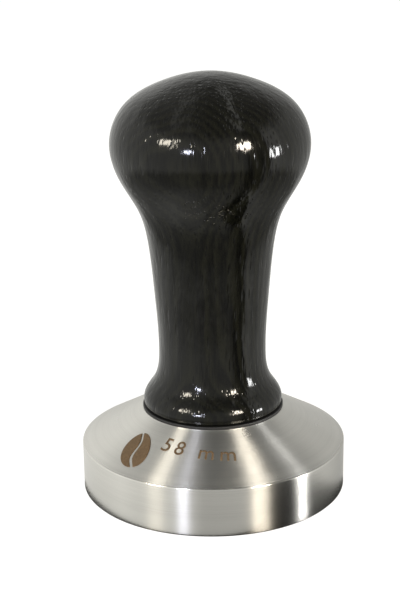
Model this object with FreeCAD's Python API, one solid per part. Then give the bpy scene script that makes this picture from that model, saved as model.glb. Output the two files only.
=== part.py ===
import FreeCAD, Part
import math
import os

# Espresso tamper for a 58 mm filter basket: a turned steel base that presses the
# coffee, and a turned wooden handle that screws onto it with a threaded stud.
# Millimetres, +Z up, origin at the centre of the face that presses the coffee.

# Steel base
BASE_DIAMETER = 58.0
RIM_HEIGHT = 10.8           # straight wall that the basket guides
SEAT_HEIGHT = 18.4          # flat on top of the cone, where the washer lies
SEAT_DIAMETER = 31.4
LOWER_EDGE_CHAMFER = 0.45
RIM_EDGE_RADIUS = 0.3       # round between the wall and the cone
SEAT_EDGE_CHAMFER = 0.15

# Washer between the base and the handle
WASHER_DIAMETER = 30.9
WASHER_THICKNESS = 0.6
WASHER_HOLE_CLEARANCE = 0.35

# Wooden handle
TOTAL_HEIGHT = 92.0
KNOB_DIAMETER = 42.34
KNOB_DOME_HEIGHT = 14.3     # from the widest ring of the knob up to its crown
WAIST_DIAMETER = 23.36
WAIST_ABOVE_FOOT = 11.9
FOOT_DIAMETER = 30.42
FOOT_BEAD_HEIGHT = 1.4      # rounded lip around the foot
FOOT_BEAD_INSET = 0.5

# Shape of the dome: shares of the knob's radius and of the dome's height
DOME_STATIONS = ((0.5, 0.845), (0.866, 0.5))
# Shape of the grip: how far down from the knob to the waist, and how much of
# the step between the two radii is left there
GRIP_STATIONS = ((0.16, 0.82), (0.32, 0.385), (0.50, 0.174), (0.72, 0.071))
# Shape of the flare: how far down from the waist to the lip of the foot, and
# how much of the step between the two radii is reached there
FLARE_STATIONS = ((0.30, 0.07), (0.60, 0.38), (0.80, 0.79))

# Thread of the stud: M8 x 1.25, with flanks at 60 degrees to one another
THREAD_DIAMETER = 8.0
THREAD_PITCH = 1.25
THREAD_RADIAL_CLEARANCE = 0.1
THREAD_FLANK_CLEARANCE = 0.07   # along the axis, on each flank
THREAD_FLANK_ANGLE = 30.0       # from a plane across the axis

# Stud: a set screw that stays in the handle
STUD_LENGTH = 25.0
STUD_REACH = 9.8            # length that goes into the base, below the seat
STUD_END_CHAMFER = 0.7
SOCKET_ACROSS_FLATS = 4.0
SOCKET_DEPTH = 4.0

# Tapped hole of the base
TAP_RUNOUT = 1.6            # thread that goes on past the end of the stud
DRILL_RUNOUT = 0.8          # plain hole past the end of the thread
DRILL_POINT_ANGLE = 118.0
COUNTERSINK = 0.5           # wider than the thread, on each side
COUNTERSINK_ANGLE = 90.0

# Brass insert in the foot of the handle
INSERT_WALL = 2.0           # around the thread
INSERT_END_WALL = 2.0
FLANGE_WIDTH = 3.0          # wider than the body, on each side
FLANGE_THICKNESS = 1.5
GLUE_GROOVES = 4
GLUE_GROOVE_DEPTH = 0.5
GLUE_GROOVE_WIDTH = 1.0
THREAD_RELIEF_TURNS = 1.5   # undercut at the blind end of the thread
BORE_RELIEF = 1.0           # room above the end of the insert

# Room that a cutting solid reaches past the solid that it cuts
CUT_OVERSHOOT = 1.0
THREAD_LEAD_IN = 2 * THREAD_PITCH

FOOT_HEIGHT = SEAT_HEIGHT + WASHER_THICKNESS
STUD_BOTTOM = SEAT_HEIGHT - STUD_REACH
STUD_TOP = STUD_BOTTOM + STUD_LENGTH
INSERT_TOP = STUD_TOP + INSERT_END_WALL
INSERT_RADIUS = THREAD_DIAMETER / 2 + INSERT_WALL
FLANGE_RADIUS = INSERT_RADIUS + FLANGE_WIDTH

# Metric thread form: a sharp triangle as high as SHARP_HEIGHT, with its flanks
# in the middle at 3/8 of that height below the outer size, and its bore at 5/8
FLANK_SLOPE = math.tan(math.radians(THREAD_FLANK_ANGLE))
SHARP_HEIGHT = THREAD_PITCH / 2 / FLANK_SLOPE
THREAD_PITCH_RADIUS = THREAD_DIAMETER / 2 - SHARP_HEIGHT * 3 / 8
THREAD_BORE_RADIUS = THREAD_DIAMETER / 2 - SHARP_HEIGHT * 5 / 8
UP = FreeCAD.Vector(0, 0, 1)
SAME_HEIGHT = 1e-6
HEX_SIDES = 6


def point(radius, height):
    """A point of a half section, which lies in the XZ plane."""
    return FreeCAD.Vector(radius, 0, height)


def turned(edges):
    """Solid of revolution around Z from the edges of its closed half section."""
    face = Part.Face(Part.Wire(edges))
    return face.revolve(FreeCAD.Vector(0, 0, 0), UP, 360)


def outline(corners):
    """Straight edges from each corner (radius, height) to the next, closed."""
    points = [point(radius, height) for radius, height in corners]
    return Part.makePolygon(points + points[:1]).Edges


def cylinder(radius, bottom, top):
    """Upright cylinder on the axis."""
    return Part.makeCylinder(radius, top - bottom, FreeCAD.Vector(0, 0, bottom))


def cone_point(radius, top, full_angle):
    """Cone below a drilled hole, with its tip down."""
    depth = radius / math.tan(math.radians(full_angle / 2))
    return Part.makeCone(0, radius, depth, FreeCAD.Vector(0, 0, top - depth))


def tooth_half_width(radius):
    """Half of the thread's tooth along the axis, in a thread with no clearance."""
    return THREAD_PITCH / 4 - (radius - THREAD_PITCH_RADIUS) * FLANK_SLOPE


def one_turn(radius, height):
    """Edge of one turn of the right-hand thread's helix, from this height up."""
    helix = Part.makeHelix(THREAD_PITCH, THREAD_PITCH, radius)
    helix.translate(UP * height)
    return helix.Edges[0]


def helical_cutter(inner, outer, inner_half_width, outer_half_width, bottom, top):
    """Solid with a trapezoid section that climbs the thread's helix.

    Each turn has four ruled faces between the helices of its corners. The first
    turn starts at a whole number of pitches above the origin, so that all the
    threads on the axis are in step with one another.
    """
    first = math.ceil(bottom / THREAD_PITCH)
    last = math.ceil(top / THREAD_PITCH)
    corners = ((inner, -inner_half_width), (outer, -outer_half_width),
               (outer, outer_half_width), (inner, inner_half_width))
    faces = []
    for turn in range(first, last):
        edges = [one_turn(radius, turn * THREAD_PITCH + offset)
                 for radius, offset in corners]
        for lower, upper in zip(edges, edges[1:] + edges[:1]):
            faces.append(Part.makeRuledSurface(lower, upper))
    for turn in (first, last):
        section = [(radius, turn * THREAD_PITCH + offset) for radius, offset in corners]
        faces.append(Part.Face(Part.Wire(outline(section))))
    shell = Part.makeShell(faces)
    shell.sewShape()
    cutter = Part.makeSolid(shell)
    if cutter.Volume < 0:
        cutter.reverse()
    return cutter


def tapped(solid, bottom, top):
    """The solid with an internal thread cut into its bore."""
    inner = THREAD_BORE_RADIUS - THREAD_RADIAL_CLEARANCE
    outer = THREAD_DIAMETER / 2 + THREAD_RADIAL_CLEARANCE / 2
    cutter = helical_cutter(inner, outer, tooth_half_width(inner),
                            tooth_half_width(outer), bottom, top)
    return solid.cut(cutter)


def threaded(solid, bottom, top):
    """The solid with an external thread cut into its outside, which leaves its
    teeth where a tapped hole has its groove."""
    inner = THREAD_BORE_RADIUS - THREAD_RADIAL_CLEARANCE
    outer = THREAD_DIAMETER / 2 - THREAD_RADIAL_CLEARANCE / 2
    half_gap = THREAD_PITCH / 2 + THREAD_FLANK_CLEARANCE
    cutter = helical_cutter(inner, outer, half_gap - tooth_half_width(inner),
                            half_gap - tooth_half_width(outer), bottom, top)
    return solid.cut(cutter.translated(UP * (THREAD_PITCH / 2)))


def handle_curve():
    """Outline of the handle from its crown down to the lip of its foot."""
    knob = KNOB_DIAMETER / 2
    waist = WAIST_DIAMETER / 2
    foot = FOOT_DIAMETER / 2
    knob_height = TOTAL_HEIGHT - KNOB_DOME_HEIGHT
    waist_height = FOOT_HEIGHT + WAIST_ABOVE_FOOT
    lip_height = FOOT_HEIGHT + FOOT_BEAD_HEIGHT
    points = [point(0, TOTAL_HEIGHT)]
    for width, rise in DOME_STATIONS:
        points.append(point(knob * width, knob_height + KNOB_DOME_HEIGHT * rise))
    points.append(point(knob, knob_height))
    for drop, step in GRIP_STATIONS:
        points.append(point(waist + (knob - waist) * step,
                            knob_height + (waist_height - knob_height) * drop))
    points.append(point(waist, waist_height))
    for drop, step in FLARE_STATIONS:
        points.append(point(waist + (foot - waist) * step,
                            waist_height + (lip_height - waist_height) * drop))
    points.append(point(foot, lip_height))
    curve = Part.BSplineCurve()
    curve.interpolate(points, InitialTangent=FreeCAD.Vector(1, 0, 0),
                      FinalTangent=FreeCAD.Vector(0, 0, -1), Scale=False)
    return curve.toShape()


def make_tamper_base():
    radius = BASE_DIAMETER / 2
    seat = SEAT_DIAMETER / 2
    body = turned(outline((
        (0, 0),
        (radius - LOWER_EDGE_CHAMFER, 0),
        (radius, LOWER_EDGE_CHAMFER),
        (radius, RIM_HEIGHT),
        (seat, SEAT_HEIGHT - SEAT_EDGE_CHAMFER),
        (seat - SEAT_EDGE_CHAMFER, SEAT_HEIGHT),
        (0, SEAT_HEIGHT))))
    rim_edges = [edge for edge in body.Edges
                 if abs(edge.BoundBox.ZMin - RIM_HEIGHT) < SAME_HEIGHT
                 and abs(edge.BoundBox.ZMax - RIM_HEIGHT) < SAME_HEIGHT]
    body = body.makeFillet(RIM_EDGE_RADIUS, rim_edges)
    thread_end = STUD_BOTTOM - TAP_RUNOUT
    drill_end = thread_end - DRILL_RUNOUT
    countersink = THREAD_DIAMETER / 2 + COUNTERSINK
    body = body.cut(cylinder(THREAD_BORE_RADIUS, drill_end, SEAT_HEIGHT + CUT_OVERSHOOT))
    body = body.cut(cone_point(THREAD_BORE_RADIUS, drill_end, DRILL_POINT_ANGLE))
    body = body.cut(cone_point(countersink, SEAT_HEIGHT, COUNTERSINK_ANGLE))
    return tapped(body, thread_end, SEAT_HEIGHT)


def make_handle_washer():
    disc = cylinder(WASHER_DIAMETER / 2, SEAT_HEIGHT, FOOT_HEIGHT)
    hole = cylinder(THREAD_DIAMETER / 2 + WASHER_HOLE_CLEARANCE, SEAT_HEIGHT, FOOT_HEIGHT)
    return disc.cut(hole)


def make_handle():
    curve = handle_curve()
    crown = point(0, TOTAL_HEIGHT)
    lip = point(FOOT_DIAMETER / 2, FOOT_HEIGHT + FOOT_BEAD_HEIGHT)
    corner = point(FOOT_DIAMETER / 2, FOOT_HEIGHT)
    foot_edge = point(FOOT_DIAMETER / 2 - FOOT_BEAD_INSET, FOOT_HEIGHT)
    lip_curve = Part.BezierCurve()
    lip_curve.setPoles([lip, corner, foot_edge])
    foot_centre = point(0, FOOT_HEIGHT)
    body = turned([curve, lip_curve.toShape(),
                   Part.makeLine(foot_edge, foot_centre),
                   Part.makeLine(foot_centre, crown)])
    body = body.cut(cylinder(INSERT_RADIUS, FOOT_HEIGHT, INSERT_TOP + BORE_RELIEF))
    return body.cut(cylinder(FLANGE_RADIUS, FOOT_HEIGHT, FOOT_HEIGHT + FLANGE_THICKNESS))


def make_threaded_insert():
    body = cylinder(INSERT_RADIUS, FOOT_HEIGHT, INSERT_TOP)
    body = body.fuse(cylinder(FLANGE_RADIUS, FOOT_HEIGHT, FOOT_HEIGHT + FLANGE_THICKNESS))
    body = body.cut(cylinder(THREAD_BORE_RADIUS, FOOT_HEIGHT, STUD_TOP))
    body = body.cut(cylinder(THREAD_DIAMETER / 2 + THREAD_RADIAL_CLEARANCE,
                             STUD_TOP - THREAD_RELIEF_TURNS * THREAD_PITCH, STUD_TOP))
    barrel = INSERT_TOP - FOOT_HEIGHT - FLANGE_THICKNESS
    spacing = barrel / (GLUE_GROOVES + 1)
    for number in range(GLUE_GROOVES):
        height = FOOT_HEIGHT + FLANGE_THICKNESS + spacing * (number + 1)
        bottom = height - GLUE_GROOVE_WIDTH / 2
        top = height + GLUE_GROOVE_WIDTH / 2
        ring = cylinder(INSERT_RADIUS + CUT_OVERSHOOT, bottom, top)
        ring = ring.cut(cylinder(INSERT_RADIUS - GLUE_GROOVE_DEPTH, bottom, top))
        body = body.cut(ring)
    return tapped(body.removeSplitter(), FOOT_HEIGHT - THREAD_LEAD_IN,
                  STUD_TOP - THREAD_PITCH)


def make_threaded_stud():
    radius = THREAD_DIAMETER / 2 - THREAD_RADIAL_CLEARANCE
    tip = radius - STUD_END_CHAMFER
    body = turned(outline((
        (0, STUD_BOTTOM),
        (tip, STUD_BOTTOM),
        (radius, STUD_BOTTOM + STUD_END_CHAMFER),
        (radius, STUD_TOP - STUD_END_CHAMFER),
        (tip, STUD_TOP),
        (0, STUD_TOP))))
    body = threaded(body, STUD_BOTTOM - THREAD_LEAD_IN, STUD_TOP)
    corner = SOCKET_ACROSS_FLATS / math.sqrt(3)
    corners = []
    for number in range(HEX_SIDES):
        angle = 2 * math.pi * number / HEX_SIDES
        corners.append(FreeCAD.Vector(corner * math.cos(angle), corner * math.sin(angle),
                                      STUD_BOTTOM))
    hexagon = Part.Face(Part.makePolygon(corners + corners[:1]))
    return body.cut(hexagon.extrude(UP * SOCKET_DEPTH))


PIECES = {
    "tamper_base": make_tamper_base,
    "handle_washer": make_handle_washer,
    "handle": make_handle,
    "threaded_insert": make_threaded_insert,
    "threaded_stud": make_threaded_stud,
}

os.makedirs("parts", exist_ok=True)
for name, make in PIECES.items():
    shape = make()
    print(name, shape.ShapeType, "solids", len(shape.Solids), "valid", shape.isValid(),
          "volume", round(shape.Volume, 1), "faces", len(shape.Faces))
    shape.exportStep("parts/" + name + ".step")
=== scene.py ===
import math

import bmesh
import bpy
import numpy as np
from mathutils import Matrix, Vector


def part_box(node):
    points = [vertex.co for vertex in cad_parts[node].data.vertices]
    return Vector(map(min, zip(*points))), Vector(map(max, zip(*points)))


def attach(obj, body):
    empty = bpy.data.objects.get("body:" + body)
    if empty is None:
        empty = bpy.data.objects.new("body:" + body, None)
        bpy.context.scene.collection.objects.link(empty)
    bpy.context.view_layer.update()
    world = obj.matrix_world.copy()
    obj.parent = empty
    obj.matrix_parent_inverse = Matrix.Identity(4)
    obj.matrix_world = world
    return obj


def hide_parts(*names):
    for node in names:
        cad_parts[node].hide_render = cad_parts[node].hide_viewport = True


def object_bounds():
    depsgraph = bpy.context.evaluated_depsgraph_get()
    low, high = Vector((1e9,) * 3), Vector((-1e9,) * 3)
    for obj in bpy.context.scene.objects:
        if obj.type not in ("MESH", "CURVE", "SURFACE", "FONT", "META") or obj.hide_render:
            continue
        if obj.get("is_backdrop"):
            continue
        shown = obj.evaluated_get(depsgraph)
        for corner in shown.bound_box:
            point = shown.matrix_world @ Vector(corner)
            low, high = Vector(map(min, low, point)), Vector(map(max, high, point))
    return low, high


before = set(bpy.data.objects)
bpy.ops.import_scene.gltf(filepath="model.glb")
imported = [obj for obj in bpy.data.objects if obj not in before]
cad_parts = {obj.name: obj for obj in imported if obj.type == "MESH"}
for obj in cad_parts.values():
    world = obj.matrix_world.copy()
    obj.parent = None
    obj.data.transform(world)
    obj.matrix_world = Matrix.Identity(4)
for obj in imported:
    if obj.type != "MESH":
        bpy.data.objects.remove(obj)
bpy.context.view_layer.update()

bl_info = {
    "name": "Espresso Tamper",
    "version": (1, 0, 0),
    "blender": (4, 5, 0),
    "location": "View3D > Sidebar > Tamper",
    "description": "Turned steel base, lacquered ash handle and stud of an espresso tamper",
    "category": "Add Mesh",
}

MM = 0.001
COLUMNS = 288  # points around the axis, a multiple of 6 for the hex socket
ARC_STEPS = 6  # points along each rounded corner of a section


def linear(hex_colour):
    """Linear RGBA of an sRGB colour written as six hex digits."""
    channels = [int(hex_colour[i:i + 2], 16) / 255 for i in (0, 2, 4)]
    return [c / 12.92 if c <= 0.04045 else ((c + 0.055) / 1.055) ** 2.4 for c in channels] + [1.0]


def length(name, description, millimetres):
    """A size that a user can change, in metres."""
    return bpy.props.FloatProperty(name=name, description=description,
                                   default=millimetres * MM, unit="LENGTH", precision=5)


def angle(name, description, degrees):
    """An angle that a user can change."""
    return bpy.props.FloatProperty(name=name, description=description, subtype="ANGLE",
                                   default=math.radians(degrees))


def colour(name, description, hex_colour):
    """A colour that a user can change."""
    return bpy.props.FloatVectorProperty(name=name, description=description, size=4,
                                         subtype="COLOR", min=0, max=1,
                                         default=linear(hex_colour))


# -------- sizes and colours

class BaseSettings(bpy.types.PropertyGroup):
    rim_height: length("Rim height", "Top of the straight wall", 10.8)
    seat_diameter: length("Seat diameter", "Flat on top of the cone", 31.4)
    lower_chamfer: length("Lower chamfer", "Chamfer under the wall", 0.45)
    rim_round: length("Rim round", "Round between the wall and the cone", 0.3)
    seat_chamfer: length("Seat chamfer", "Chamfer between the cone and the seat", 0.15)
    thread_end: length("Thread end", "Height where the tapped thread stops", 7.0)
    drill_end: length("Drill end", "Height where the plain hole stops", 6.2)
    countersink: length("Countersink", "Radius of the hole's mouth", 4.5)
    steel: colour("Steel", "Turned and polished stainless steel", "E2E0DA")


class HandleSettings(bpy.types.PropertyGroup):
    knob_diameter: length("Knob diameter", "Widest ring of the knob", 42.34)
    dome_height: length("Dome height", "From that ring up to the crown", 14.3)
    waist_diameter: length("Waist diameter", "Narrowest ring of the grip", 23.36)
    waist_above_foot: length("Waist above foot", "Height of that ring above the foot", 11.9)
    foot_diameter: length("Foot diameter", "Widest ring of the foot", 30.42)
    lip_height: length("Lip height", "Rounded lip around the foot", 1.4)
    lip_inset: length("Lip inset", "How far the lip turns in", 0.5)
    ring_spacing: length("Ring spacing", "Mean width of a growth ring", 1.5)
    ring_depth: length("Ring depth", "How far the soft half of a ring sinks", 0.012)
    stain_dark: colour("Dark stain", "Dense late wood under the stain", "040403")
    stain_light: colour("Light stain", "Porous early wood under the stain", "11110B")


class ThreadSettings(bpy.types.PropertyGroup):
    diameter: length("Diameter", "Outer size of the metric thread", 8.0)
    pitch: length("Pitch", "Rise of one turn", 1.25)
    radial_clearance: length("Radial clearance", "Room over the stud's crests", 0.1)
    flank_clearance: length("Flank clearance", "Room along the axis on each flank", 0.07)
    socket_flats: length("Socket", "Hex socket across its flats", 4.0)
    socket_depth: length("Socket depth", "Depth of the hex socket", 4.0)
    stud_chamfer: length("Stud chamfer", "Chamfer on both ends of the stud", 0.7)
    relief_turns: bpy.props.FloatProperty(name="Relief", default=1.5,
                                          description="Turns of undercut in the insert")


class MarkSettings(bpy.types.PropertyGroup):
    bean_height: length("Bean height", "Etched coffee bean, along the cone", 9.6)
    bean_width: length("Bean width", "Etched coffee bean, across", 6.6)
    bean_azimuth: angle("Bean azimuth", "Where the bean is, from the front", -46)
    bean_slant: length("Bean place", "From the seat down the cone to the bean's centre", 8.3)
    figure_height: length("Figure height", "Height of the etched size", 3.5)
    figure_azimuth: angle("Figure azimuth", "Middle of the etched size", -10)
    figure_slant: length("Figure place", "From the seat down the cone to its lower line", 7.3)
    etch: colour("Etch", "Laser-annealed oxide on the steel", "6E5A42")


class StageSettings(bpy.types.PropertyGroup):
    camera_distance: length("Camera distance", "From the middle of the tamper", 329.0)
    camera_elevation: angle("Camera elevation", "Above the horizon", 17.5)
    camera_roll: angle("Camera roll", "Turn about the line of sight", -0.79)
    aim_side: length("Aim sideways", "Where the camera looks, across", -2.56)
    aim_height: length("Aim height", "Where the camera looks, above the floor", 42.32)
    lens: bpy.props.FloatProperty(name="Lens", description="Focal length in millimetres",
                                  default=91.1)
    floor: colour("Floor", "Plain pale floor", "F4F4F3")


class TamperSettings(bpy.types.PropertyGroup):
    base: bpy.props.PointerProperty(type=BaseSettings)
    handle: bpy.props.PointerProperty(type=HandleSettings)
    thread: bpy.props.PointerProperty(type=ThreadSettings)
    mark: bpy.props.PointerProperty(type=MarkSettings)
    stage: bpy.props.PointerProperty(type=StageSettings)


# -------- turned surfaces

def rounded_section(corners):
    """Stations (radius, height) of a section with rounded corners.

    Each corner is (radius, height, rounding). A rounded corner becomes the curve
    (1-t)^2 A + 2 t (1-t) P + t^2 B between the points A and B that lie on the
    two sides at the rounding's distance from the corner P.
    """
    points = np.array([corner[:2] for corner in corners], float)
    stations = []
    t = np.linspace(0, 1, ARC_STEPS)[:, None]
    for number, corner in enumerate(corners):
        here = points[number]
        rounding = corner[2] if len(corner) > 2 else 0
        if not rounding:
            stations.append(here[None, :])
            continue
        before = points[number - 1] - here
        after = points[(number + 1) % len(points)] - here
        start = here + before / np.linalg.norm(before) * rounding
        end = here + after / np.linalg.norm(after) * rounding
        stations.append((1 - t) ** 2 * start + 2 * t * (1 - t) * here + t ** 2 * end)
    return np.concatenate(stations)


def divided(stations, step):
    """The same section with no two stations further apart than the step."""
    gaps = np.linalg.norm(np.diff(stations, axis=0), axis=1)
    counts = np.maximum(np.ceil(gaps / step).astype(int), 1)
    along = np.concatenate([np.linspace(i, i + 1, n, endpoint=False)
                            for i, n in enumerate(counts)] + [[len(stations) - 1]])
    places = np.arange(len(stations))
    return np.stack([np.interp(along, places, stations[:, k]) for k in (0, 1)], axis=1)


def angles():
    """Angle of each column around the axis, counted from +X."""
    return np.arange(COLUMNS) * 2 * math.pi / COLUMNS


def turned_points(radius, height):
    """Points (radius cos a, radius sin a, height), with a column for each angle a."""
    a = angles()[None, :]
    radius, height = np.broadcast_arrays(radius, height + 0 * a)
    return np.stack([radius * np.cos(a), radius * np.sin(a), height], axis=2)


def new_mesh(name, vertices, faces):
    """Mesh with these rows of vertices and these faces."""
    mesh = bpy.data.meshes.new(name)
    mesh.from_pydata(vertices.reshape(-1, 3).tolist(), [], faces)
    return mesh


def grid_faces(rows, columns, closed):
    """Quads of a grid whose columns wrap, and whose rows wrap too if it is closed."""
    row = np.arange(rows if closed else rows - 1)[:, None]
    column = np.arange(columns)[None, :]
    above = (row + 1) % rows
    beside = (column + 1) % columns
    quads = [row * columns + column, row * columns + beside,
             above * columns + beside, above * columns + column]
    quads = [np.broadcast_to(corner, (len(row), columns)) for corner in quads]
    return np.stack(quads, axis=2).reshape(-1, 4)


def turned_mesh(name, radius, height, closed=False):
    """Mesh of a surface turned around Z.

    radius and height are grids with a row for each station and a column for each
    angle. An open section has its first and last stations on the axis, each of
    which becomes one pole. A closed section joins its last station to its first.
    """
    points = vertices = turned_points(radius, height)
    if closed:
        faces = grid_faces(len(points), COLUMNS, True).tolist()
    else:
        ring = points[1:-1]
        vertices = np.concatenate([ring.reshape(-1, 3), points[0, :1], points[-1, :1]])
        first = ring.shape[0] * COLUMNS
        column = np.arange(COLUMNS)
        beside = (column + 1) % COLUMNS
        last_row = (ring.shape[0] - 1) * COLUMNS
        start_fan = np.stack([np.full(COLUMNS, first), beside, column], axis=1)
        end_fan = np.stack([np.full(COLUMNS, first + 1), last_row + column,
                            last_row + beside], axis=1)
        faces = (grid_faces(ring.shape[0], COLUMNS, False).tolist()
                 + start_fan.tolist() + end_fan.tolist())
    mesh = new_mesh(name, vertices, faces)
    mesh.validate()
    return mesh


def linked_object(name, data):
    """Object at the origin with this data, linked to the scene."""
    holder = bpy.data.objects.new(name, data)
    bpy.context.scene.collection.objects.link(holder)
    return holder


def add_piece(name, mesh, body, replaced, material, sharp_degrees=28):
    """Object at the origin that rides on a body and stands for a CAD node."""
    piece = linked_object(name, mesh)
    mesh.shade_smooth()
    mesh.set_sharp_from_angle(angle=math.radians(sharp_degrees))
    mesh.materials.append(material)
    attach(piece, body)
    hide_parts(replaced)


# -------- threads

FLANK_ANGLE = math.radians(30)  # each side of a metric thread's tooth
STEPS_PER_TURN = 15


def thread_radius(sizes, heights, clearance):
    """Radius of the metric thread at each height and column.

    The distance d along the axis from the middle of the nearest tooth of a stud,
    or groove of a hole, gives pitch radius + (pitch / 4 - clearance - d) / tan 30,
    held between the bore and the crest. The helix climbs one pitch each turn.
    """
    slope = math.tan(FLANK_ANGLE)
    sharp = sizes.pitch / 2 / slope
    turns = heights[:, None] / sizes.pitch - angles()[None, :] / (2 * math.pi)
    distance = np.abs(turns - np.round(turns)) * sizes.pitch
    pitch_radius = sizes.diameter / 2 - sharp * 3 / 8
    flank = pitch_radius + (sizes.pitch / 4 - clearance - distance) / slope
    return flank, sizes.diameter / 2 - sharp * 5 / 8


def thread_rows(sizes, start, end):
    """Evenly spaced heights from start to end of a thread."""
    count = int(math.ceil(abs(end - start) / sizes.pitch * STEPS_PER_TURN)) + 1
    return np.linspace(start, end, count)


def internal_thread(sizes, mouth, blind):
    """Rows of a tapped hole from its mouth in to the blind end of its thread."""
    heights = thread_rows(sizes, mouth, blind)
    flank, bore = thread_radius(sizes, heights, 0)
    crest = sizes.diameter / 2 + sizes.radial_clearance / 2
    fading = np.abs(heights - blind)[:, None] + bore
    return np.clip(flank, bore, np.minimum(crest, fading)), heights


def spread(stations):
    """A section's stations as a radius grid and a height column."""
    return np.repeat(stations[:, :1], COLUMNS, axis=1), stations[:, 1]


def stacked(parts):
    """Radius and height grids of several stretches of one section, in order."""
    radius = np.concatenate([part[0] for part in parts])
    height = np.concatenate([np.atleast_1d(part[1]) for part in parts])
    return radius, height[:, None]


# -------- materials

def wire(node, settings=None, links=None):
    """Gives a node its settings (attributes, input values or the stops of a ramp) and
    its links (input name or number to the output that feeds it, or to the node whose
    first output does)."""
    for key, value in (settings or {}).items():
        if key == "stops":
            elements = node.color_ramp.elements
            while len(elements) < len(value):
                elements.new(0.5)
            for element, (position, rgba) in zip(elements, value):
                element.position = position
                element.color = rgba
        elif isinstance(key, int) or key in node.inputs:
            node.inputs[key].default_value = value
        else:
            setattr(node, key, value)
    for key, source in (links or {}).items():
        output = source.outputs[0] if isinstance(source, bpy.types.Node) else source
        node.id_data.links.new(output, node.inputs[key])
    return node


def add_node(tree, kind, settings=None, links=None):
    """A new shader node of this kind with its settings and links."""
    return wire(tree.nodes.new("ShaderNode" + kind), settings, links)


def new_material(name):
    """A material with nodes, its node tree, its shader and its object coordinates."""
    material = bpy.data.materials.new(name)
    material.use_nodes = True
    tree = material.node_tree
    shader = tree.nodes["Principled BSDF"]
    place = add_node(tree, "TexCoord").outputs["Object"]
    return material, tree, shader, place


def grey(value):
    """Linear RGBA grey."""
    return (value, value, value, 1.0)


def scaled(rgba, factor):
    """The colour made darker or lighter, up to white."""
    return [min(1.0, channel * factor) for channel in rgba[:3]] + [1]


def turned_steel(settings):
    """304 stainless steel, turned and then polished with fine abrasive on the lathe.

    The cuts run around the axis, so each lamp is drawn out into a bright fan line
    across them, and the metal keeps a faint ringed grain. The real cuts are about
    0.05 mm apart, too fine to show, so they are drawn 0.18 mm apart.
    """
    material, tree, shader, place = new_material("turned_stainless_steel")
    height = add_node(tree, "SeparateXYZ", links={0: place}).outputs["Z"]
    around = add_node(tree, "VectorMath", {"operation": "CROSS_PRODUCT", 0: (0, 0, 1)},
                      {1: place})
    tangent = add_node(tree, "VectorMath", {"operation": "NORMALIZE"}, {0: around})
    flat = add_node(tree, "VectorMath", {"operation": "MULTIPLY", 1: (1, 1, 0)}, {0: place})
    radius = add_node(tree, "VectorMath", {"operation": "LENGTH"}, {0: flat})
    along = add_node(tree, "Math", {"operation": "MULTIPLY_ADD", 1: -0.5},
                     {0: height, 2: radius.outputs["Value"]})
    lathe_lines = add_node(tree, "TexNoise",
                           {"noise_dimensions": "1D", "Scale": 1 / (0.18 * MM), "Detail": 1.0},
                           {"W": along})
    bands = add_node(tree, "TexNoise",
                     {"noise_dimensions": "1D", "Scale": 1 / (1.6 * MM), "Detail": 2.0},
                     {"W": along})
    smears = add_node(tree, "TexNoise", {"Scale": 1 / (9 * MM), "Detail": 4.0},
                      {"Vector": place})
    tone = add_node(tree, "Mix", {"data_type": "FLOAT", "Factor": 0.45},
                    {2: bands, 3: lathe_lines})
    steel = add_node(tree, "ValToRGB", {"stops": ((0.30, scaled(settings.steel, 0.93)),
                                                  (0.62, settings.steel))}, {"Fac": tone})
    polish = add_node(tree, "MapRange",
                      {"From Min": 0.3, "From Max": 0.7, "To Min": 0.27, "To Max": 0.31},
                      {"Value": smears})
    # The wall is ground finer than the cone, so its cuts are shallower and its gloss higher
    rim = settings.rim_height
    coarse = add_node(tree, "MapRange",
                      {"From Min": rim, "From Max": rim + 0.3 * MM, "To Min": 0.15},
                      {"Value": height})
    ground = add_node(tree, "MapRange", {"To Min": 0.80}, {"Value": coarse})
    rough = add_node(tree, "Math", {"operation": "MULTIPLY"}, {0: polish, 1: ground})
    bump = add_node(tree, "Bump", {"Distance": 0.035 * MM},
                    {"Height": lathe_lines, "Strength": coarse})
    wire(shader, {"Metallic": 1.0, "Anisotropic": 1.0, "Anisotropic Rotation": 0.25},
         {"Base Color": steel, "Roughness": rough, "Normal": bump, "Tangent": tangent})
    return material


def finely_grained(name, grain, detail, dark, light, gloss, relief, metallic):
    """Material whose colour, gloss and relief follow one noise of this grain."""
    material, tree, shader, place = new_material(name)
    noise = add_node(tree, "TexNoise", {"Scale": 1 / grain, "Detail": detail},
                     {"Vector": place})
    tint = add_node(tree, "ValToRGB", {"stops": ((0.3, dark), (0.7, light))}, {"Fac": noise})
    rough = add_node(tree, "MapRange", gloss, {"Value": noise})
    wire(shader, {"Metallic": metallic}, {"Base Color": tint, "Roughness": rough})
    if relief:
        bump = add_node(tree, "Bump", {"Strength": relief, "Distance": 0.02 * MM},
                        {"Height": noise})
        wire(shader, links={"Normal": bump})
    return material


def plain_metal(name, base, dark, roughness, grain):
    """Machined metal with a cut grain and slightly uneven gloss. Real cuts are too fine
    to show, so the grain is drawn wider than they are."""
    gloss = {"From Min": 0.3, "From Max": 0.7,
             "To Min": roughness - 0.05, "To Max": roughness + 0.07}
    return finely_grained(name, grain, 4.0, linear(dark), linear(base), gloss, 0.2, 1.0)


def washer_nylon():
    """Moulded black nylon, matt, with the faint cloudiness of a moulded skin."""
    return finely_grained("moulded_black_nylon", 0.5 * MM, 3.0, linear("060606"),
                          linear("0E0E0E"), {"To Min": 0.42, "To Max": 0.62}, 0.15, 0.0)


def laser_etch(settings):
    """Laser-annealed mark: a brown oxide film, duller than the steel around it.

    The laser's own lines are too fine to show, so the film varies over 0.35 mm.
    """
    return finely_grained("laser_annealed_oxide", 0.35 * MM, 4.0,
                          scaled(settings.etch, 0.72), scaled(settings.etch, 1.25),
                          {"To Min": 0.45, "To Max": 0.65}, 0.0, 0.55)


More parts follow.
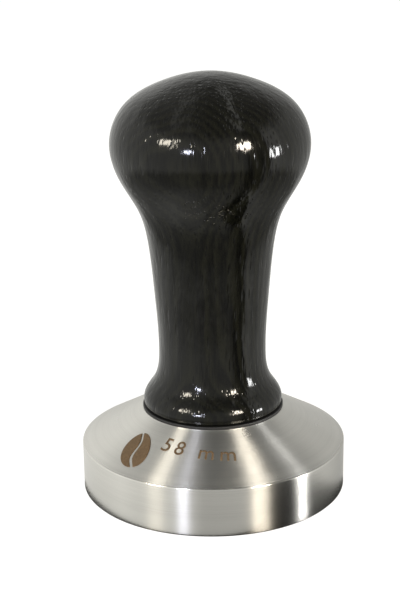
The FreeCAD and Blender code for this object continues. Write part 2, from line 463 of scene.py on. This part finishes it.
def lacquered_ash(settings):
    """Open-pored ash, stained black and sprayed with gloss lacquer.

    The stain leaves the growth rings as faint grey bands. The lacquer follows the
    long open pores of the early wood, which break its highlights up. Real pores are
    0.2 to 0.3 mm wide, too fine to show, so they are drawn 0.72 mm apart.
    The coat's IOR is under lacquer's 1.5, which keeps the front dark and the edges
    light.
    """
    material, tree, shader, place = new_material("black_lacquered_ash")
    ring = add_node(tree, "Attribute", {"attribute_name": "early_wood"}).outputs["Fac"]
    fibre_place, swell_place, pore_place = (
        add_node(tree, "Mapping", {"Scale": (1 / (across * MM), 1 / (across * MM),
                                             1 / (along * MM))}, {"Vector": place})
        for across, along in ((0.5, 8), (2.4, 7), (0.72, 5)))
    fibres = add_node(tree, "TexNoise", {"Scale": 1.0, "Detail": 3.0, "Roughness": 0.6},
                      {"Vector": fibre_place})
    swell = add_node(tree, "TexNoise", {"Scale": 1.0, "Detail": 2.0}, {"Vector": swell_place})
    pores = add_node(tree, "TexVoronoi", {"Scale": 1.0}, {"Vector": pore_place})
    pore = add_node(tree, "MapRange",
                    {"From Min": 0.15, "From Max": 0.36, "To Min": 1.0, "To Max": 0.0},
                    {"Value": pores})
    pore_share = add_node(tree, "MapRange", {"To Min": 0.35}, {"Value": ring})
    open_pore = add_node(tree, "Math", {"operation": "MULTIPLY"}, {0: pore, 1: pore_share})
    mixed = add_node(tree, "Mix", {"data_type": "FLOAT", "Factor": 0.72}, {2: ring, 3: fibres})
    stain = add_node(tree, "ValToRGB", {"stops": ((0.30, settings.stain_dark),
                                                  (0.68, settings.stain_light))},
                     {"Fac": mixed})
    in_pore = add_node(tree, "Mix", {"data_type": "RGBA", 7: linear("050504")},
                       {0: open_pore, 6: stain})
    rough = add_node(tree, "MapRange", {"To Min": 0.32, "To Max": 0.55}, {"Value": fibres})
    grain = add_node(tree, "Math", {"operation": "MULTIPLY_ADD", 1: -4.0},
                     {0: open_pore, 2: fibres})
    fine = add_node(tree, "Bump", {"Strength": 0.8, "Distance": 0.012 * MM}, {"Height": grain})
    bump = add_node(tree, "Bump", {"Distance": 0.15 * MM},
                    {"Height": swell, "Normal": fine})
    wire(shader, {"Specular IOR Level": 0.0, "Coat Weight": 1.0, "Coat Roughness": 0.11,
                  "Coat IOR": 1.36},
         {"Base Color": in_pore.outputs[2], "Roughness": rough, "Normal": bump,
          "Coat Normal": bump})
    return material


# -------- pieces

EDGE_BREAK = 0.06 * MM  # softened edges of the chamfer under the wall
SEAT_BREAK = 0.04 * MM  # and of the chamfer round the seat
RIM_TANGENT = 0.585  # tangent of half the turn from the wall to the cone
STEEL_STEP = 0.8 * MM  # longest gap between stations of the base
DRILL_HALF_ANGLE = math.radians(59)


def cone_section(base):
    """Seat radius, seat height, rim radius and rim height of the base's cone."""
    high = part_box("tamper_base")[1]
    return base.seat_diameter / 2, high[2], high[0], base.rim_height


class TAMPER_OT_base(bpy.types.Operator):
    """Turned steel base with a conical top and a blind tapped hole"""
    bl_idname = "tamper.base"
    bl_label = "Steel base"

    def execute(self, context):
        settings = context.scene.tamper
        base, thread = settings.base, settings.thread
        seat_radius, seat, radius, rim = cone_section(base)
        outside = divided(rounded_section([
            (0, 0),
            (radius - base.lower_chamfer, 0, EDGE_BREAK),
            (radius, base.lower_chamfer, EDGE_BREAK),
            (radius, rim, base.rim_round * RIM_TANGENT),
            (seat_radius, seat - base.seat_chamfer, SEAT_BREAK),
            (seat_radius - base.seat_chamfer, seat, SEAT_BREAK),
            (base.countersink, seat)]), STEEL_STEP)
        bore_radius, heights = internal_thread(thread, seat, base.thread_end)
        mouth = base.countersink - (seat - heights)[:, None]
        bore_radius = np.maximum(bore_radius, mouth)
        plain = thread_radius(thread, heights[-1:], 0)[1]
        tip = base.drill_end - plain / math.tan(DRILL_HALF_ANGLE)
        blind = divided(np.array([(plain, base.drill_end), (0, tip)]), STEEL_STEP)
        radii, rows = stacked([spread(outside[:-1]), (bore_radius, heights), spread(blind)])
        mesh = turned_mesh("turned_base", radii, rows)
        add_piece("turned_base", mesh, "base", "tamper_base", turned_steel(base))
        return {"FINISHED"}


WASHER_ROOM = 0.35 * MM  # between the washer's bore and the stud
WASHER_ROUND = 0.12 * MM  # outer edge at the bottom
WASHER_TOP = 1.6  # rounding of the top edge over the bottom's
WASHER_STEP = 1.0 * MM


class TAMPER_OT_washer(bpy.types.Operator):
    """Thin black washer between the steel and the wood"""
    bl_idname = "tamper.washer"
    bl_label = "Washer"

    def execute(self, context):
        thread = context.scene.tamper.thread
        low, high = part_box("handle_washer")
        bore = thread.diameter / 2 + WASHER_ROOM
        section = divided(rounded_section([
            (bore, high[2], WASHER_ROUND / 2), (bore, low[2], WASHER_ROUND / 2),
            (high[0], low[2], WASHER_ROUND), (high[0], high[2], WASHER_ROUND * WASHER_TOP)]),
            WASHER_STEP)
        radii, rows = stacked([spread(section)])
        mesh = turned_mesh("black_washer", radii, rows, closed=True)
        add_piece("black_washer", mesh, "washer", "handle_washer",
                  washer_nylon(), 50)
        return {"FINISHED"}


def clamped_spline(points, start, end, samples):
    """Cubic spline through the points, with unit end slopes start and end.

    Its parameter is the chord length. The slopes at the inner points solve the
    usual tridiagonal system that makes the curvature run on, and each span is
    the cubic with the two points and two slopes at its ends.
    """
    points = np.array(points, float)
    chord = np.linalg.norm(np.diff(points, axis=0), axis=1)
    knots = np.concatenate([[0], np.cumsum(chord)])
    count = len(points)
    system = np.eye(count)
    known = np.zeros((count, 2))
    known[0], known[-1] = start, end
    rise = np.diff(points, axis=0) / chord[:, None]
    inner = np.arange(1, count - 1)
    system[inner, inner - 1] = chord[1:]
    system[inner, inner] = 2 * (chord[1:] + chord[:-1])
    system[inner, inner + 1] = chord[:-1]
    known[1:-1] = 3 * (chord[1:, None] * rise[:-1] + chord[:-1, None] * rise[1:])
    slopes = np.linalg.solve(system, known)
    at = np.linspace(0, knots[-1], samples)
    span = np.clip(np.searchsorted(knots, at, side="right") - 1, 0, count - 2)
    width = chord[span][:, None]
    t = ((at - knots[span])[:, None]) / width
    return ((2 * t ** 3 - 3 * t ** 2 + 1) * points[span]
            + (t ** 3 - 2 * t ** 2 + t) * width * slopes[span]
            + (3 * t ** 2 - 2 * t ** 3) * points[span + 1]
            + (t ** 3 - t ** 2) * width * slopes[span + 1])


LIP_STEPS = 7
OUTLINE_STATIONS = 290

# Shares of the knob's radius and the dome's height along the dome, and shares of
# the way down and of the step in radius along the grip and the flare
DOME = ((0.5, 0.845), (0.866, 0.5))
GRIP = ((0.16, 0.82), (0.32, 0.385), (0.50, 0.174), (0.72, 0.071))
FLARE = ((0.30, 0.07), (0.60, 0.38), (0.80, 0.79))


def handle_outline(sizes, foot, crown, samples):
    """Stations of the handle's outside from the foot's edge up to the crown."""
    knob, waist, wide = (d / 2 for d in (sizes.knob_diameter, sizes.waist_diameter,
                                         sizes.foot_diameter))
    knob_height = crown - sizes.dome_height
    waist_height = foot + sizes.waist_above_foot
    lip = foot + sizes.lip_height
    points = [(0, crown)]
    points += [(knob * w, knob_height + sizes.dome_height * h) for w, h in DOME]
    points += [(knob, knob_height)]
    points += [(waist + (knob - waist) * step, knob_height + (waist_height - knob_height) * drop)
               for drop, step in GRIP]
    points += [(waist, waist_height)]
    points += [(waist + (wide - waist) * step, waist_height + (lip - waist_height) * drop)
               for drop, step in FLARE]
    points += [(wide, lip)]
    upper = clamped_spline(points, (1, 0), (0, -1), samples)[::-1]
    t = np.linspace(0, 1, LIP_STEPS)[:, None]
    edge, corner, top = (np.array(p) for p in ((wide - sizes.lip_inset, foot), (wide, foot),
                                               (wide, lip)))
    lower = (1 - t) ** 2 * edge + 2 * t * (1 - t) * corner + t ** 2 * top
    return np.concatenate([lower[:-1], upper])


WAVES = 9
NOISE_GAIN = 1.8  # brings the waves' mean to about -1 to 1


def smooth_noise(points, seed, wave):
    """Smooth noise from about -1 to 1: the mean of nine sine waves of random direction,
    with lengths from half to twice the wave, through each point."""
    rng = np.random.default_rng(seed)
    directions = rng.normal(size=(WAVES, 3))
    directions /= np.linalg.norm(directions, axis=1)[:, None]
    waves = 2 * math.pi / (wave * 2 ** rng.uniform(-1, 1, WAVES))
    phases = rng.uniform(0, 2 * math.pi, WAVES)
    return np.sin(points @ (directions * waves[:, None]).T + phases).mean(axis=-1) * NOISE_GAIN


GRAIN_STRETCH = np.array([1, 1, 0.22])  # the rings wander slowly up the grain
DRIFTS = ((3, 16 * MM, 1.3 * MM), (8, 5 * MM, 0.22 * MM))  # seed, wave and size
RING_NORMAL = (0.34, 0.94, 0.10)  # across the rings
RING_HEIGHT = 60 * MM  # where the tilt leaves a ring in its place
RING_BEND = 95 * MM  # radius of the rings
RING_START = (0.12, 0.03)  # share of the ring, and how sudden it is
RING_FADE = (0.52, 0.10)


def early_wood(points, sizes):
    """How porous the wood is at each point, from 0 in late wood to 1 in early wood.

    The rings are gently waved and bent sheets across Y, tilted a little up the grain,
    and each ring starts with a sudden porous band that fades towards its dense end.
    """
    grain = points * GRAIN_STRETCH
    drift = sum(smooth_noise(grain, seed, wave) * size for seed, wave, size in DRIFTS)
    x, y, z = (points[..., k] for k in range(3))
    across = (RING_NORMAL[1] * y + RING_NORMAL[0] * x + RING_NORMAL[2] * (z - RING_HEIGHT)
              - (x / RING_BEND) ** 2 * RING_BEND / 2 + drift)
    turn = across / sizes.ring_spacing
    share = turn - np.floor(turn)
    sudden = 1 / (1 + np.exp(-(share - RING_START[0]) / RING_START[1]))
    fading = 1 / (1 + np.exp((share - RING_FADE[0]) / RING_FADE[1]))
    return np.clip(sudden * fading, 0, 1)


FLANGE_STEP = 3.0 * MM  # from the insert's flange in to its barrel
FLANGE_HEIGHT = 1.5 * MM
GLUE_ROOM = 1.0 * MM  # over the insert in the handle's bore
BORE_STEP = 2.0 * MM
PLAIN_STATIONS = 3  # of the foot's edge, which have no ring relief
SMOOTH_CROWN = 2 * MM  # radius in which the relief fades to the pole


class TAMPER_OT_handle(bpy.types.Operator):
    """Turned ash handle, stained black and lacquered"""
    bl_idname = "tamper.handle"
    bl_label = "Handle"

    def execute(self, context):
        sizes = context.scene.tamper.handle
        low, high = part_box("handle")
        foot, crown = low[2], high[2]
        flange, _, bore_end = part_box("threaded_insert")[1]
        bore_end += GLUE_ROOM
        barrel = flange - FLANGE_STEP
        flange_top = foot + FLANGE_HEIGHT
        inside = divided(np.array([
            (0, bore_end), (barrel, bore_end),
            (barrel, flange_top), (flange, flange_top), (flange, foot),
            (sizes.foot_diameter / 2 - sizes.lip_inset, foot)]), BORE_STEP)
        outline = handle_outline(sizes, foot, crown, OUTLINE_STATIONS)
        radii, rows = stacked([spread(inside[:-1]), spread(outline)])
        porous = early_wood(turned_points(radii, rows), sizes)
        outer = np.arange(len(rows)) >= len(inside) + PLAIN_STATIONS
        slope = np.gradient(radii[:, 0]), np.gradient(rows[:, 0])
        size = np.hypot(*slope)
        outward, upward = slope[1] / size, -slope[0] / size
        off_axis = np.clip(radii[:, :1] / SMOOTH_CROWN, 0, 1)
        sink = sizes.ring_depth * porous * outer[:, None] * off_axis
        deep_radii = radii - sink * outward[:, None]
        deep_rows = rows - sink * upward[:, None]
        mesh = turned_mesh("ash_handle", deep_radii, deep_rows)
        layer = mesh.attributes.new("early_wood", "FLOAT", "POINT")
        ring_values = porous[1:-1].reshape(-1)
        layer.data.foreach_set("value", np.concatenate(
            [ring_values, porous[0, :1], porous[-1, :1]]).astype(np.float32))
        add_piece("ash_handle", mesh, "grip", "handle",
                  lacquered_ash(sizes), 40)
        return {"FINISHED"}


FLANGE_CUT = 0.25 * MM  # rounded edges of the flange
BARREL_CUT = 0.5 * MM  # chamfer on the end of the barrel
BARREL_ROWS = 60
GROOVES = 5
GROOVE_DEPTH = 0.5 * MM  # also half of a groove's width
GROOVE_MARGIN = 1 * MM  # plain knurl kept at both ends of the barrel
KNURL_DEPTH = 0.18 * MM
KNURL_WAVES = 24  # half as many as the teeth
RELIEF_GAP = 0.02 * MM  # from the thread's end to the undercut
INSERT_STEP = 1.0 * MM


class TAMPER_OT_insert(bpy.types.Operator):
    """Flanged and knurled brass insert with a blind thread"""
    bl_idname = "tamper.insert"
    bl_label = "Threaded insert"

    def execute(self, context):
        thread = context.scene.tamper.thread
        low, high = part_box("threaded_insert")
        stud_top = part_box("threaded_stud")[1][2]
        relief = thread.diameter / 2 + thread.radial_clearance
        relief_start = stud_top - thread.relief_turns * thread.pitch
        barrel = high[0] - FLANGE_STEP
        flange_top = low[2] + FLANGE_HEIGHT
        inner = divided(np.array([(0, stud_top), (relief, stud_top), (relief, relief_start)]),
                        INSERT_STEP)
        bore_radius, heights = internal_thread(thread, low[2], relief_start - RELIEF_GAP)
        outer = rounded_section([
            (relief, low[2]), (high[0], low[2], FLANGE_CUT), (high[0], flange_top, FLANGE_CUT),
            (barrel, flange_top)])
        barrel_rows = np.linspace(flange_top, high[2] - BARREL_CUT, BARREL_ROWS)
        spacing = (high[2] - flange_top) / GROOVES
        place = (barrel_rows - flange_top) / spacing
        groove = np.abs(place - np.round(place)) * spacing
        in_groove = ((groove < GROOVE_DEPTH) & (barrel_rows > flange_top + GROOVE_MARGIN)
                     & (barrel_rows < high[2] - GROOVE_MARGIN))
        knurl = KNURL_DEPTH * np.abs(np.sin(angles() * KNURL_WAVES))[None, :]
        barrel_radius = barrel - np.where(in_groove[:, None], GROOVE_DEPTH, knurl)
        end = rounded_section([(barrel, high[2] - BARREL_CUT), (barrel - BARREL_CUT, high[2]),
                               (0, high[2])])
        radii, rows = stacked([spread(inner), (bore_radius[::-1], heights[::-1]), spread(outer),
                               (barrel_radius[1:], barrel_rows[1:]), spread(end[1:])])
        mesh = turned_mesh("brass_insert", radii, rows)
        material = plain_metal("turned_brass", "D9B36C", "B98F45", 0.28, 0.6 * MM)
        add_piece("brass_insert", mesh, "grip", "threaded_insert", material)
        return {"FINISHED"}


SOCKET_ROWS = 6
SOCKET_FLOOR = 0.5  # inner ring of the socket's floor over its edge


class TAMPER_OT_stud(bpy.types.Operator):
    """Zinc-plated set screw with a hex socket"""
    bl_idname = "tamper.stud"
    bl_label = "Threaded stud"

    def execute(self, context):
        thread = context.scene.tamper.thread
        low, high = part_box("threaded_stud")
        crest = thread.diameter / 2 - thread.radial_clearance
        tip = crest - thread.stud_chamfer
        facet = np.mod(angles(), math.pi / 3) - math.pi / 6
        hexagon = (thread.socket_flats / 2 / np.cos(facet))[None, :]
        socket_end = low[2] + thread.socket_depth
        socket_rows = np.linspace(socket_end, low[2], SOCKET_ROWS)
        socket = np.repeat(hexagon, SOCKET_ROWS, axis=0)
        heights = thread_rows(thread, low[2], high[2])
        flank, bore = thread_radius(thread, heights, thread.flank_clearance)
        ends = np.minimum(heights - low[2], high[2] - heights)[:, None] + tip
        body = np.minimum(np.clip(flank, bore - thread.radial_clearance, crest), ends)
        pole = np.zeros((1, COLUMNS))
        radii, rows = stacked([(pole, socket_end), (hexagon * SOCKET_FLOOR, socket_end),
                               (socket, socket_rows), (body, heights), (pole, high[2])])
        mesh = turned_mesh("set_screw", radii, rows)
        material = plain_metal("zinc_plated_steel", "B9BAB8", "8D8F8E", 0.32, 0.8 * MM)
        add_piece("set_screw", mesh, "grip", "threaded_stud", material)
        return {"FINISHED"}


# -------- etched marks

FILM_THICKNESS = 0.03 * MM
FILM_LIFT = 0.02 * MM  # keeps the film clear of the steel
BEAN_ROWS, BEAN_COLUMNS = 40, 10
BEAN_LEAN = math.radians(26)
FIGURE_SLOPE = math.radians(-6)
FIGURE_SHARE = 0.7  # height of a figure over the font's size
FIGURE_SPACING = 1.35
FIGURE_EDGE = 0.4 * MM  # longest edge that is left flat on the cone
CREASE_SWAY, CREASE_HALF = 0.17, 0.085
TIP = 0.985  # where the halves stop, so that their tips close
TIP_WIDTH = 0.004  # least width of a half, over half the bean's
WELD = 0.001 * MM


def turned_flat(angle):
    """Matrix that turns flat points, one to a row, by the angle from right to up."""
    return np.array([[math.cos(angle), math.sin(angle)], [-math.sin(angle), math.cos(angle)]])


def on_cone(flat, base, azimuth, slant, lift):
    """Wraps flat points (right, up the cone) around the cone.

    A point u to the right and v up stands on the circle whose slant distance from
    the seat is slant - v, at the azimuth plus u over that mark's own radius, and
    a little above the steel.
    """
    seat_radius, seat, radius, rim = cone_section(base)
    run, drop = radius - seat_radius, seat - rim
    side = math.hypot(run, drop)
    out, down = run / side, drop / side
    middle = seat_radius + slant * out
    along = slant - flat[:, 1]
    r = seat_radius + along * out + down * lift
    z = seat - along * down + out * lift
    angle = azimuth + flat[:, 0] / middle
    return np.stack([r * np.sin(angle), -r * np.cos(angle), z], axis=1)


def add_mark(name, mesh, material):
    """An etched mark as a closed film of a few hundredths of a millimetre."""
    piece = linked_object(name, mesh)
    film = piece.modifiers.new("film", "SOLIDIFY")
    film.thickness = FILM_THICKNESS
    film.offset = -1.0
    mesh.shade_smooth()
    mesh.materials.append(material)
    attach(piece, "base")


def half_bean(side, rows, columns, mark):
    """Flat grid of one half of a coffee bean.

    Its outer edge is the ellipse's half. Its inner edge follows the crease
    x = 0.17 sin(pi t) (1 - t^4), moved 0.085 to its own side, and the points
    between lie at even shares of the way.
    """
    t = np.linspace(-TIP, TIP, rows)[:, None]
    share = np.linspace(0, 1, columns)[None, :]
    edge = side * np.sqrt(1 - t ** 2)
    crease = CREASE_SWAY * np.sin(math.pi * t) * (1 - t ** 4) + side * CREASE_HALF
    reach = np.where(side * (edge - crease) > 0, edge, crease + side * TIP_WIDTH)
    x = (crease + (reach - crease) * share) * mark.bean_width / 2
    y = (t + 0 * share) * mark.bean_height / 2
    return np.stack([x, y], axis=2)


class TAMPER_OT_marks(bpy.types.Operator):
    """Etched coffee bean and basket size on the cone"""
    bl_idname = "tamper.marks"
    bl_label = "Etched marks"

    def execute(self, context):
        settings = context.scene.tamper
        mark, base = settings.mark, settings.base
        oxide = laser_etch(mark)
        rows, columns = BEAN_ROWS, BEAN_COLUMNS
        vertices, faces = [], []
        for side in (-1, 1):
            flat = half_bean(side, rows, columns, mark).reshape(-1, 2) @ turned_flat(BEAN_LEAN)
            first = len(vertices) * rows * columns
            vertices.append(on_cone(flat, base, mark.bean_azimuth, mark.bean_slant, FILM_LIFT))
            row, column = np.meshgrid(np.arange(rows - 1), np.arange(columns - 1), indexing="ij")
            corner = first + row * columns + column
            quads = np.stack([corner, corner + 1, corner + columns + 1, corner + columns], axis=2)
            faces += quads.reshape(-1, 4)[:, ::side].tolist()
        mesh = new_mesh("etched_bean", np.concatenate(vertices), faces)
        add_mark("etched_bean", mesh, oxide)

        letters = bpy.data.curves.new("etched_size", "FONT")
        letters.body = "58 mm"
        letters.align_x = "CENTER"
        letters.size = mark.figure_height / FIGURE_SHARE
        letters.space_character = FIGURE_SPACING
        carrier = linked_object("etched_size_flat", letters)
        bpy.context.view_layer.update()
        mesh = bpy.data.meshes.new_from_object(carrier)
        bpy.data.objects.remove(carrier)
        shaped = bmesh.new()
        shaped.from_mesh(mesh)
        bmesh.ops.remove_doubles(shaped, verts=shaped.verts, dist=WELD)
        bmesh.ops.triangulate(shaped, faces=shaped.faces)
        for _ in range(2):
            long_edges = [e for e in shaped.edges if e.calc_length() > FIGURE_EDGE]
            bmesh.ops.subdivide_edges(shaped, edges=long_edges, cuts=2)
            bmesh.ops.triangulate(shaped, faces=shaped.faces)
        shaped.to_mesh(mesh)
        shaped.free()
        flat = np.zeros(len(mesh.vertices) * 3)
        mesh.vertices.foreach_get("co", flat)
        wrapped = on_cone(flat.reshape(-1, 3)[:, :2] @ turned_flat(FIGURE_SLOPE), base,
                          mark.figure_azimuth, mark.figure_slant, FILM_LIFT)
        mesh.vertices.foreach_set("co", wrapped.ravel())
        mesh.update()
        add_mark("etched_size", mesh, oxide)
        return {"FINISHED"}


# -------- stage

def aimed(place, target):
    """Matrix of a lamp or camera at a place, looking at a target."""
    direction = Vector(target) - Vector(place)
    turn = direction.to_track_quat("-Z", "Y").to_matrix().to_4x4()
    return Matrix.Translation(place) @ turn


def around(azimuth, elevation, distance, target):
    """Point at this azimuth from the front, positive to the right, as seen from a target."""
    a, e = math.radians(azimuth), math.radians(elevation)
    return Vector(target) + distance * Vector((math.sin(a) * math.cos(e),
                                               -math.cos(a) * math.cos(e), math.sin(e)))


def add_lamp(name, azimuth, elevation, distance, width, height, radiance, tint, target):
    """Rectangular soft lamp that gives this radiance towards the target."""
    lamp = bpy.data.lights.new(name, "AREA")
    lamp.shape = "RECTANGLE"
    lamp.size, lamp.size_y = width, height
    lamp.energy = radiance * math.pi * width * height
    lamp.color = linear(tint)[:3]
    holder = linked_object(name, lamp)
    holder.matrix_world = aimed(around(azimuth, elevation, distance, target), target)


# name, azimuth, elevation, distance, width and height in metres, radiance, tint
LAMPS = (
    ("lamp_left", -52, 25, 1.09, 0.23, 0.17, 37, "FFF6E4"),
    ("lamp_left_thin", -25.6, 14.5, 1.18, 0.16, 0.12, 90, "E9ECFF"),
    ("lamp_right", 40, 20, 1.12, 0.26, 0.18, 76, "FFF4E2"),
    ("lamp_far_right", 77.8, 1, 1.17, 0.18, 0.26, 44, "FFFFFF"),
)

# Brightness of the room round the horizon, by degrees from the front towards the right
HORIZON = ((-180, 0.76), (-158, 0.86), (-140, 0.92), (-110, 1.02), (-86, 1.15), (-70, 1.02),
           (-34, 0.92), (-20, 0.78), (-10, 0.62), (22, 0.66), (34, 0.68), (43, 0.45),
           (49, 0.14), (68, 0.12), (73, 1.30), (85, 1.30), (90, 0.85), (112, 0.75),
           (132, 0.60), (145, 0.50), (155, 0.56), (166, 0.56), (180, 0.70))

# Share of the room's brightness by height, with 0 straight down and 1 straight up
UNDERNEATH = ((0.0, 0.75), (0.06, 0.80), (0.13, 0.45), (0.24, 0.38), (0.31, 1.0))

# Brightness of the long ceiling tubes, by degrees of the fan in which the steel shows them
TUBES = ((-27.5, 0.0), (-25.5, 0.5), (-22.0, 0.5), (-20.5, 0.0), (-14.2, 0.0),
         (-13.6, 0.5), (-12.4, 0.5), (-11.8, 0.0), (7, 0.0), (8, 0.15), (9, 0.0),
         (16, 0.0), (17, 1.0), (20.4, 1.6), (21.6, 0.0))


FAN_PLACE = 0.954  # where the tubes run together: behind, just over the horizon

FLOOR_RADIUS = 4.0
# Painted shadow: a black card on the floor, seen only in reflections, in place of the tamper's
# shade on the floor
SHADOW_CARD_INNER = 28.2 * MM  # just under the softened edge of the base
SHADOW_CARD_LIFT = 0.05 * MM
SHADOW_CARD_WIDTH = 1.5 * MM
SHADOW_CARD_BELLS = ((51, 22, 26.0 * MM), (-62, 30, 1.5 * MM))  # middle and spread in degrees, size
CAMERA_PIVOT = 45 * MM  # height that the camera's distance and elevation count from
CAMERA_CLIP = 10 * MM


class TAMPER_OT_stage(bpy.types.Operator):
    """Pale floor, soft lamps, surroundings and camera"""
    bl_idname = "tamper.stage"
    bl_label = "Stage"

    def execute(self, context):
        scene = context.scene
        settings = scene.tamper.stage
        low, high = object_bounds()
        middle = Vector(((low[0] + high[0]) / 2, (low[1] + high[1]) / 2, (low[2] + high[2]) / 2))
        self.add_floor(settings, low[2])
        # Painted shadow: black card that darkens the reflected floor at the steel's foot
        self.add_painted_shadow_card(low[2])
        for lamp in LAMPS:
            add_lamp(*lamp, target=middle)
        self.add_surroundings(scene)
        self.add_camera(scene, settings)
        scene.view_settings.view_transform = "Standard"
        return {"FINISHED"}

    def add_floor(self, settings, height):
        """Round sheet of glowing card a few metres across, which gloss doesn't reflect."""
        mesh = new_mesh("floor", turned_points(FLOOR_RADIUS, height), [list(range(COLUMNS))])
        floor = linked_object("floor", mesh)
        material, _, shader, _ = new_material("white_card")
        wire(shader, {"Base Color": grey(0.3), "Roughness": 0.9, "Specular IOR Level": 0.0,
                      "Emission Color": settings.floor, "Emission Strength": 0.92})
        floor.visible_glossy = False
        mesh.materials.append(material)
        floor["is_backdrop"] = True

    def add_painted_shadow_card(self, height):
        """Black card on the floor round the tamper, widest on its right, which only the steel and
        the lacquer reflect. It is a painted shadow: it stands for the tamper's own shade on the
        floor, and darkens the foot of the steel wall and its lower edge in reflection.

        Its inner edge is a circle. Its width at each angle is 1.5 mm and two bell
        curves, one round each side of the tamper.
        """
        from_front = np.degrees(angles()) + 90
        width = SHADOW_CARD_WIDTH + sum(
            size * np.exp(-((np.mod(from_front - middle + 180, 360) - 180) / half) ** 2)
            for middle, half, size in SHADOW_CARD_BELLS)
        rings = np.stack([np.full(COLUMNS, SHADOW_CARD_INNER), SHADOW_CARD_INNER + width])
        mesh = new_mesh("painted_shadow_card", turned_points(rings, height + SHADOW_CARD_LIFT),
                        grid_faces(2, COLUMNS, False)[:, ::-1].tolist())
        painted_shadow_card = linked_object("painted_shadow_card", mesh)
        # Black of the painted shadow card
        material, _, shader, _ = new_material("black_painted_shadow_card")
        wire(shader, {"Base Color": linear("0C0C0C"), "Roughness": 1.0,
                      "Specular IOR Level": 0.0})
        mesh.materials.append(material)
        painted_shadow_card.visible_camera = False
        painted_shadow_card.visible_diffuse = False
        painted_shadow_card.visible_shadow = False
        painted_shadow_card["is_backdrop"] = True

    def add_surroundings(self, scene):
        """Room that is bright on the left and behind, and dim in front and on the right.

        Its brightness depends on the direction alone. Near the horizon it changes
        with the heading, and overhead it falls from left to right, with long thin
        tubes that run together towards the back. Seen directly it is plain white, so
        it meets the floor without a line.
        """
        world = bpy.data.worlds.new("studio")
        scene.world = world
        world.use_nodes = True
        tree = world.node_tree
        direction = add_node(tree, "TexCoord").outputs["Generated"]
        x, y, z = add_node(tree, "SeparateXYZ", links={0: direction}).outputs
        ahead = add_node(tree, "Math", {"operation": "MULTIPLY", 1: -1.0}, {0: y})
        horizon = self.add_dial(tree, x, ahead, HORIZON)
        gather = add_node(tree, "Math", {"operation": "SUBTRACT", 0: FAN_PLACE}, {1: y})
        tubes = self.add_dial(tree, x, gather, TUBES)
        across = add_node(tree, "MapRange",
                          {"From Min": -0.40, "From Max": 0.0, "To Min": 0.46, "To Max": 0.20},
                          {"Value": x})
        overhead, height = (
            add_node(tree, "MapRange", {"interpolation_type": "SMOOTHSTEP", "From Min": start,
                                        "From Max": 0.78}, {"Value": z})
            for start in (0.66, 0.42))
        ceiling = add_node(tree, "Math", {"operation": "MULTIPLY_ADD"},
                           {0: tubes, 1: overhead, 2: across})
        strength = add_node(tree, "Mix", {"data_type": "FLOAT"},
                            {0: height, 2: horizon, 3: ceiling})
        rise = add_node(tree, "MapRange", {"From Min": -1.0}, {"Value": z})
        underneath = add_node(
            tree, "ValToRGB", {"stops": [(share, grey(value)) for share, value in UNDERNEATH]},
            {"Fac": rise})
        shaded = add_node(tree, "Math", {"operation": "MULTIPLY"}, {0: strength, 1: underneath})
        seen = add_node(tree, "LightPath").outputs["Is Camera Ray"]
        plain = add_node(tree, "Mix", {"data_type": "FLOAT", 3: 1.0}, {0: seen, 2: shaded})
        wire(tree.nodes["Background"], {"Color": linear("FCFCF8")}, {"Strength": plain})

    def add_dial(self, tree, side, front, stops):
        """Value of (degrees, value) stops by the angle whose tangent is side / front."""
        turn = add_node(tree, "Math", {"operation": "ARCTAN2"}, {0: side, 1: front})
        share = add_node(tree, "MapRange", {"From Min": -math.pi, "From Max": math.pi},
                         {"Value": turn})
        stops = [((degrees + 180) / 360, grey(value)) for degrees, value in stops]
        return add_node(tree, "ValToRGB", {"stops": stops}, {"Fac": share})

    def add_camera(self, scene, settings):
        """Camera a little above the front, rolled and aimed slightly off the axis."""
        e, roll = settings.camera_elevation, settings.camera_roll
        place = Vector((0, -settings.camera_distance * math.cos(e),
                        CAMERA_PIVOT + settings.camera_distance * math.sin(e)))
        target = Vector((settings.aim_side, 0, settings.aim_height))
        camera = bpy.data.cameras.new("camera")
        camera.lens = settings.lens
        camera.clip_start = CAMERA_CLIP
        holder = linked_object("camera", camera)
        holder.matrix_world = aimed(place, target) @ Matrix.Rotation(roll, 4, "Z")
        scene.camera = holder


# -------- panel

PIECE_OPERATORS = ("base", "washer", "handle", "insert", "stud", "marks", "stage")


class TAMPER_PT_pieces(bpy.types.Panel):
    """Lists the pieces of the tamper and their sizes"""
    bl_idname = "TAMPER_PT_pieces"
    bl_label = "Espresso tamper"
    bl_space_type = "VIEW_3D"
    bl_region_type = "UI"
    bl_category = "Tamper"

    def draw(self, context):
        for name in PIECE_OPERATORS:
            self.layout.operator("tamper." + name)
        settings = context.scene.tamper
        for group in (settings.base, settings.handle, settings.thread, settings.mark,
                      settings.stage):
            box = self.layout.box()
            for key in group.__annotations__:
                box.prop(group, key)


CLASSES = (BaseSettings, HandleSettings, ThreadSettings, MarkSettings, StageSettings,
           TamperSettings, TAMPER_OT_base, TAMPER_OT_washer, TAMPER_OT_handle,
           TAMPER_OT_insert, TAMPER_OT_stud, TAMPER_OT_marks, TAMPER_OT_stage,
           TAMPER_PT_pieces)


def register():
    for cls in CLASSES:
        bpy.utils.register_class(cls)
    bpy.types.Scene.tamper = bpy.props.PointerProperty(type=TamperSettings)


def unregister():
    del bpy.types.Scene.tamper
    for cls in reversed(CLASSES):
        bpy.utils.unregister_class(cls)


def main():
    register()
    for name in PIECE_OPERATORS:
        getattr(bpy.ops.tamper, name)()


if __name__ == "__main__":
    main()
